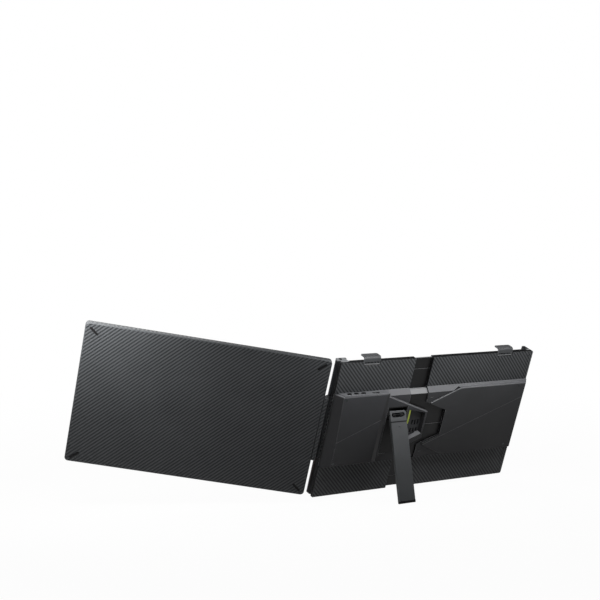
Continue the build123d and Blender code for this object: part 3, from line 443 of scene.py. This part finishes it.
# Painted highlight lines along facets of the two covers, each as across, back and up from the
# hinge axis, in metres
covers = {"blockHighlightLine": ((-0.0028, 0.0206, 0.088), (-0.070, 0.0212, 0.117)),
          "slabHighlightLine": ((-0.1594, 0.016, 0.0681), (-0.3380, 0.016, 0.1342)),
          # Painted highlight on faces that look up, the edge colour for worn edges and painted
          # highlights, and painted shade fading darker towards the foot
          "rim": "727376", "edge": "c0c2c4", "edgeWidth": 0.0008, "roughness": 0.48,
          "foot": (0.055, 0.15, "29292b")}


def coverMaterial(name, colour, line, sideShade):
    ends = tuple(onBracket(*point) for point in line)
    return plasticMaterial(name, colour, covers["roughness"], covers["edge"],
                           width=covers["edgeWidth"], lines=[ends], rimHighlight=covers["rim"],
                           foot=covers["foot"], sideShade=sideShade)


# The last colour of each cover is painted shade on its side walls
coverPlastic = coverMaterial("coverPlastic", "47484b", covers["blockHighlightLine"], "2a2a2c")
armPlastic = coverMaterial("armPlastic", "47484a", covers["slabHighlightLine"], "1c1c1e")
bezelPlastic = plasticMaterial("bezelPlastic", "222325", 0.5, "5a5c5e")
# Faces that look up on the posts and the tongue take a painted highlight; the tongue also takes
# painted shade on faces that look down
postPlastic = plasticMaterial("postPlastic", "38393b", 0.45, "8c8e90", rimHighlight="8a8c8e")
tongueMetal = plasticMaterial("tongueMetal", "131314", 0.42, "4a4a4c", grainScale=2500.0,
                              rimHighlight="949597", sideShade="131314")

# The folding leg hangs from its pin; it fades darker towards its foot as painted shade, and a dark
# stroke of painted shade lies in the groove just under the head
leg = {"lean": 10.5, "pin": (-0.0996, 0.01835, 0.1213), "grooveBelow": 0.0093, "grooveOut": 0.0018,
       "grooveShadeWidth": 0.0012, "foot": (0.0, 0.12, "4c4e50")}
legAngle = math.radians(leg["lean"])
legDown = Vector((0, math.sin(legAngle), -math.cos(legAngle)))
legOut = Vector((0, math.cos(legAngle), math.sin(legAngle)))
grooveStart = onBracket(*leg["pin"]) + legDown * leg["grooveBelow"] + legOut * leg["grooveOut"]
headGrooveShade = (grooveStart, grooveStart + alongSide, leg["grooveShadeWidth"])
legMetal = plasticMaterial("legMetal", "6a6c6e", 0.4, "9c9ea0", width=0.0004,
                           foot=leg["foot"], grooveShades=[headGrooveShade])
rubberBlack = plasticMaterial("rubberBlack", "0b0b0c", 0.75, "1c1c1d", grainScale=900.0, grain=0.3)
buttonBlack = plasticMaterial("buttonBlack", "141415", 0.35, "3c3d3f")
accentGreen = plasticMaterial("accentGreen", "d2e35c", 0.45, "e8f48c", width=0.0002)
boardGreen = plasticMaterial("boardGreen", "0f3a22", 0.4, "1c5a36", grainScale=600.0)
lightGuide = plasticMaterial("lightGuide", "d8d9da", 0.4, "f0f0f0")
steelPlain = metalMaterial("steelPlain", "a8a9ab", 0.3, (1, 1, 0.05), "d0d0d0")
screwSteel = metalMaterial("screwSteel", "4c4e50", 0.45, (1, 1, 0.05), "6c6e70")
ventPlastic = plasticMaterial("ventPlastic", "404143", 0.5, "2a2b2d", width=0.0003)
# The pin is dark as painted shade inside the leg's window
pinSteelPaintedShade = metalMaterial("pinSteelPaintedShade", "18191a", 0.3, (1, 1, 0.05), "a8aaac")
# The hooks' faces that look up take a painted highlight, and their wide light edges are partly
# worn and partly a painted highlight
hookPaint = plasticMaterial("hookPaint", "4e5052", 0.34, "b0b2b4", width=0.0012, rimHighlight="58595b")
# The cradle is near-black as painted shade in the leg's pocket
cradlePaintedShade = plasticMaterial("cradlePaintedShade", "111112", 0.5, "5c5e60")
print("Materials made")


display = {
    "width": 0.3094, "height": 0.174, "glow": 0.95,
    "sky": [(0.0, "dfe3e6"), (0.55, "b9c9d8"), (1.0, "7f9cb8")],
    "waveLength": 4.6, "climb": 0.28, "sharpness": 260.0, "fade": 4.5,
    "glass": (0.01, 0.01, 0.012, 1), "roughness": 0.22, "smearScale": 40.0,
    "smooth": 0.2, "smeared": 0.24,
    "bands": [  # rise, swell, phase, and the colours from the crest down
        (0.26, 0.10, 0.3, "bfe6fb", "59b7f0"), (0.16, 0.12, 1.1, "8ed0f8", "2f8fe6"),
        (0.06, 0.12, 1.9, "5aa9f2", "1b5fd0"), (-0.05, 0.11, 2.8, "7f8df0", "2b3fae"),
        (-0.15, 0.10, 3.7, "d78fd6", "6f4fc4"), (-0.25, 0.09, 4.4, "ffb06a", "e86f3a"),
        (-0.36, 0.07, 5.2, "ffcf8a", "f28a2e")],
}


def displayMaterial(settings):
    material, t, shader = newMaterial("displayPicture", settings["roughness"])
    coords = t.node("ShaderNodeTexCoord").outputs["Object"]
    low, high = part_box("display_panel")
    middle = (Vector(low) + Vector(high)) / 2

    def share(direction, length):  # place on the glass, as a share of its width or height
        return t.math("DIVIDE", t.math("SUBTRACT", t.dot(coords, direction),
                                       middle.dot(direction)), length)

    across = share(screenSide, settings["width"])
    upward = share(alongUp, settings["height"])
    picture = t.ramp(t.math("ADD", upward, 0.5),
                     [(place, hexColour(code)) for place, code in settings["sky"]])
    for rise, swell, phase, crest, foot in settings["bands"]:
        turn = t.math("ADD", t.math("MULTIPLY", across, settings["waveLength"]), phase)
        wave = t.math("MULTIPLY", t.math("SINE", turn), swell)
        slope = t.math("MULTIPLY", across, settings["climb"])
        edge = t.math("ADD", t.math("ADD", wave, slope), rise)
        below = t.math("SUBTRACT", edge, upward)
        cover = t.math("MULTIPLY", below, settings["sharpness"], clamp=True)
        fall = t.math("MULTIPLY", below, settings["fade"], clamp=True)
        picture = t.mix(cover, picture, t.mix(fall, paint(crest), paint(foot)))
    shader.inputs["Base Color"].default_value = settings["glass"]
    smear = t.noise(coords, settings["smearScale"])
    t.link(t.blend(smear, settings["smooth"], settings["smeared"]), shader.inputs["Roughness"])
    t.link(picture, shader.inputs["Emission Color"])
    shader.inputs["Emission Strength"].default_value = settings["glow"]
    return material


displayPicture = displayMaterial(display)
print("Display picture made")


# Which finish goes on which piece of the frame
finishes = {
    "screen_back_cover": screenWeave, "screen_front_bezel": bezelPlastic,
    "display_panel": displayPicture, "backlight_unit": lightGuide, "driver_board": boardGreen,
    "screen_pads": rubberBlack, "hinge_leaf": screenWeave, "hinge_plate": steelPlain,
    "hinge_screws": steelPlain, "kickstand_leg": legMetal, "kickstand_foot": rubberBlack,
    "hinge_post_lower": postPlastic, "hinge_post_upper": postPlastic, "hinge_pins": steelPlain,
    "base_front_plate": bezelPlastic, "base_upper_plate": bracketWeave,
    "base_lower_plate": bracketWeave, "base_lid_pad": rubberBlack, "slide_tongue": tongueMetal,
    "tongue_screws": steelPlain, "tongue_ridge": tongueMetal, "electronics_cover": coverPlastic,
    "main_board": boardGreen, "board_screws": steelPlain, "button_board": boardGreen,
    "button_power": buttonBlack, "button_up": buttonBlack, "button_down": buttonBlack,
    "hdmi_port": steelPlain, "usb_c_ports": steelPlain, "vent_grille": ventPlastic,
    "accent_strip": accentGreen, "cover_screws": screwSteel, "kickstand_cradle": cradlePaintedShade,
    "kickstand_pin": pinSteelPaintedShade, "arm_front_plate": bezelPlastic,
    "arm_upper_plate": bracketWeave, "arm_lower_plate": bracketWeave, "arm_cover": armPlastic,
    "arm_cover_screws": screwSteel, "arm_lid_pad": rubberBlack, "end_bar_lower": postPlastic,
    "end_bar_middle": postPlastic, "end_bar_upper": postPlastic, "left_clip": hookPaint,
    "right_clip": hookPaint, "left_clip_pad": rubberBlack, "right_clip_pad": rubberBlack,
}

for name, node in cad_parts.items():
    node.data.materials.clear()
    node.data.materials.append(finishes[name])
print("Finishes assigned")


studio = {"floorDrop": 0.0005, "floorSize": 24.0, "floorColour": (0.88, 0.88, 0.88, 1),
          "floorBounce": (0.04, 0.04, 0.04, 1), "nearGlow": 0.97, "nearReach": 0.5,
          "farReach": 1.4, "mirrored": 0.2, "worldOnObject": 0.03}


def addFloor(settings):
    level = cadBox[0][2] - settings["floorDrop"]
    mesh = bpy.data.meshes.new("floor")
    half = settings["floorSize"] / 2
    shape = bmesh.new()
    corners = [shape.verts.new((x, y, level)) for x, y in ((-half, -half), (half, -half),
                                                           (half, half), (-half, half))]
    shape.faces.new(corners)
    shape.to_mesh(mesh)
    shape.free()
    floor = bpy.data.objects.new("floor", mesh)
    scene.collection.objects.link(floor)
    material = bpy.data.materials.new("paleFloor")
    material.use_nodes = True
    t = Tree(material.node_tree)
    material.node_tree.nodes.remove(material.node_tree.nodes["Principled BSDF"])
    output = material.node_tree.nodes["Material Output"]
    lit = t.node("ShaderNodeBsdfDiffuse")
    glow = t.node("ShaderNodeEmission")
    glow.inputs["Color"].default_value = (1, 1, 1, 1)
    path = t.node("ShaderNodeLightPath")
    t.link(t.mix(path.outputs["Is Diffuse Ray"], settings["floorColour"], settings["floorBounce"]),
           lit.inputs["Color"])
    mirrored = t.math("MULTIPLY", path.outputs["Is Glossy Ray"], settings["mirrored"])
    seen = t.math("MAXIMUM", path.outputs["Is Camera Ray"],
                  t.math("MAXIMUM", mirrored, path.outputs["Is Transmission Ray"]))
    coords = t.node("ShaderNodeTexCoord")
    reach = t.node("ShaderNodeVectorMath", operation="LENGTH")
    t.link(coords.outputs["Object"], reach.inputs[0])
    fade = t.node("ShaderNodeMapRange", clamp=True)  # the shadow fades into plain white
    t.link(reach.outputs["Value"], fade.inputs["Value"])
    fade.inputs["From Min"].default_value = settings["nearReach"]
    fade.inputs["From Max"].default_value = settings["farReach"]
    fade.inputs["To Min"].default_value = settings["nearGlow"]
    mix = t.node("ShaderNodeMixShader")
    t.link(t.math("MULTIPLY", seen, fade.outputs["Result"]), mix.inputs[0])
    t.link(lit.outputs[0], mix.inputs[1])
    t.link(glow.outputs[0], mix.inputs[2])
    t.link(mix.outputs[0], output.inputs["Surface"])
    mesh.materials.append(material)


def addWorld(settings):
    world = bpy.data.worlds.new("studio")
    world.use_nodes = True
    scene.world = world
    t = Tree(world.node_tree)
    background = world.node_tree.nodes["Background"]
    background.inputs["Color"].default_value = (1, 1, 1, 1)
    path = t.node("ShaderNodeLightPath")
    seen = t.math("MAXIMUM", path.outputs["Is Camera Ray"],
                  path.outputs["Is Transmission Ray"])
    t.link(t.math("ADD", t.math("MULTIPLY", seen, 1 - settings["worldOnObject"]),
                  settings["worldOnObject"]), background.inputs["Strength"])


lamps = {  # place and aim in metres, width and height, and watts
    "barOverBracket": {"place": (-0.1415, 0.2007, 0.2568), "aim": (-0.1415, 0.0418, 0.1125),
                       "size": (0.5, 0.06), "power": 0.39},
    "barAbove": {"place": (-0.1415, 0.2384, 0.3602), "aim": (-0.1415, 0.0418, 0.1125),
                 "size": (0.5, 0.06), "power": 0.39},
    "lampOverScreen": {"place": (0.3841, -0.0095, 0.3014), "aim": (0.2704, -0.0843, 0.2116),
                       "size": (0.2, 0.1), "power": 0.95},
    "frontLight": {"place": (-0.4, -1.8, 1.1), "aim": (0.0, 0.0, 0.1),
                   "size": (1.4, 1.4), "power": 22},
}


def addLamp(name, settings):
    data = bpy.data.lights.new(name, "AREA")
    data.shape = "RECTANGLE"
    data.size, data.size_y = settings["size"]
    data.energy = settings["power"]
    lamp = bpy.data.objects.new(name, data)
    lamp.location = settings["place"]
    aim = Vector(settings["aim"]) - Vector(settings["place"])
    lamp.rotation_euler = aim.to_track_quat("-Z", "Y").to_euler()
    lamp.visible_camera = False
    scene.collection.objects.link(lamp)


addFloor(studio)
addWorld(studio)
for name, settings in lamps.items():
    addLamp(name, settings)
print("Studio set")

scene.view_settings.view_transform = "Standard"
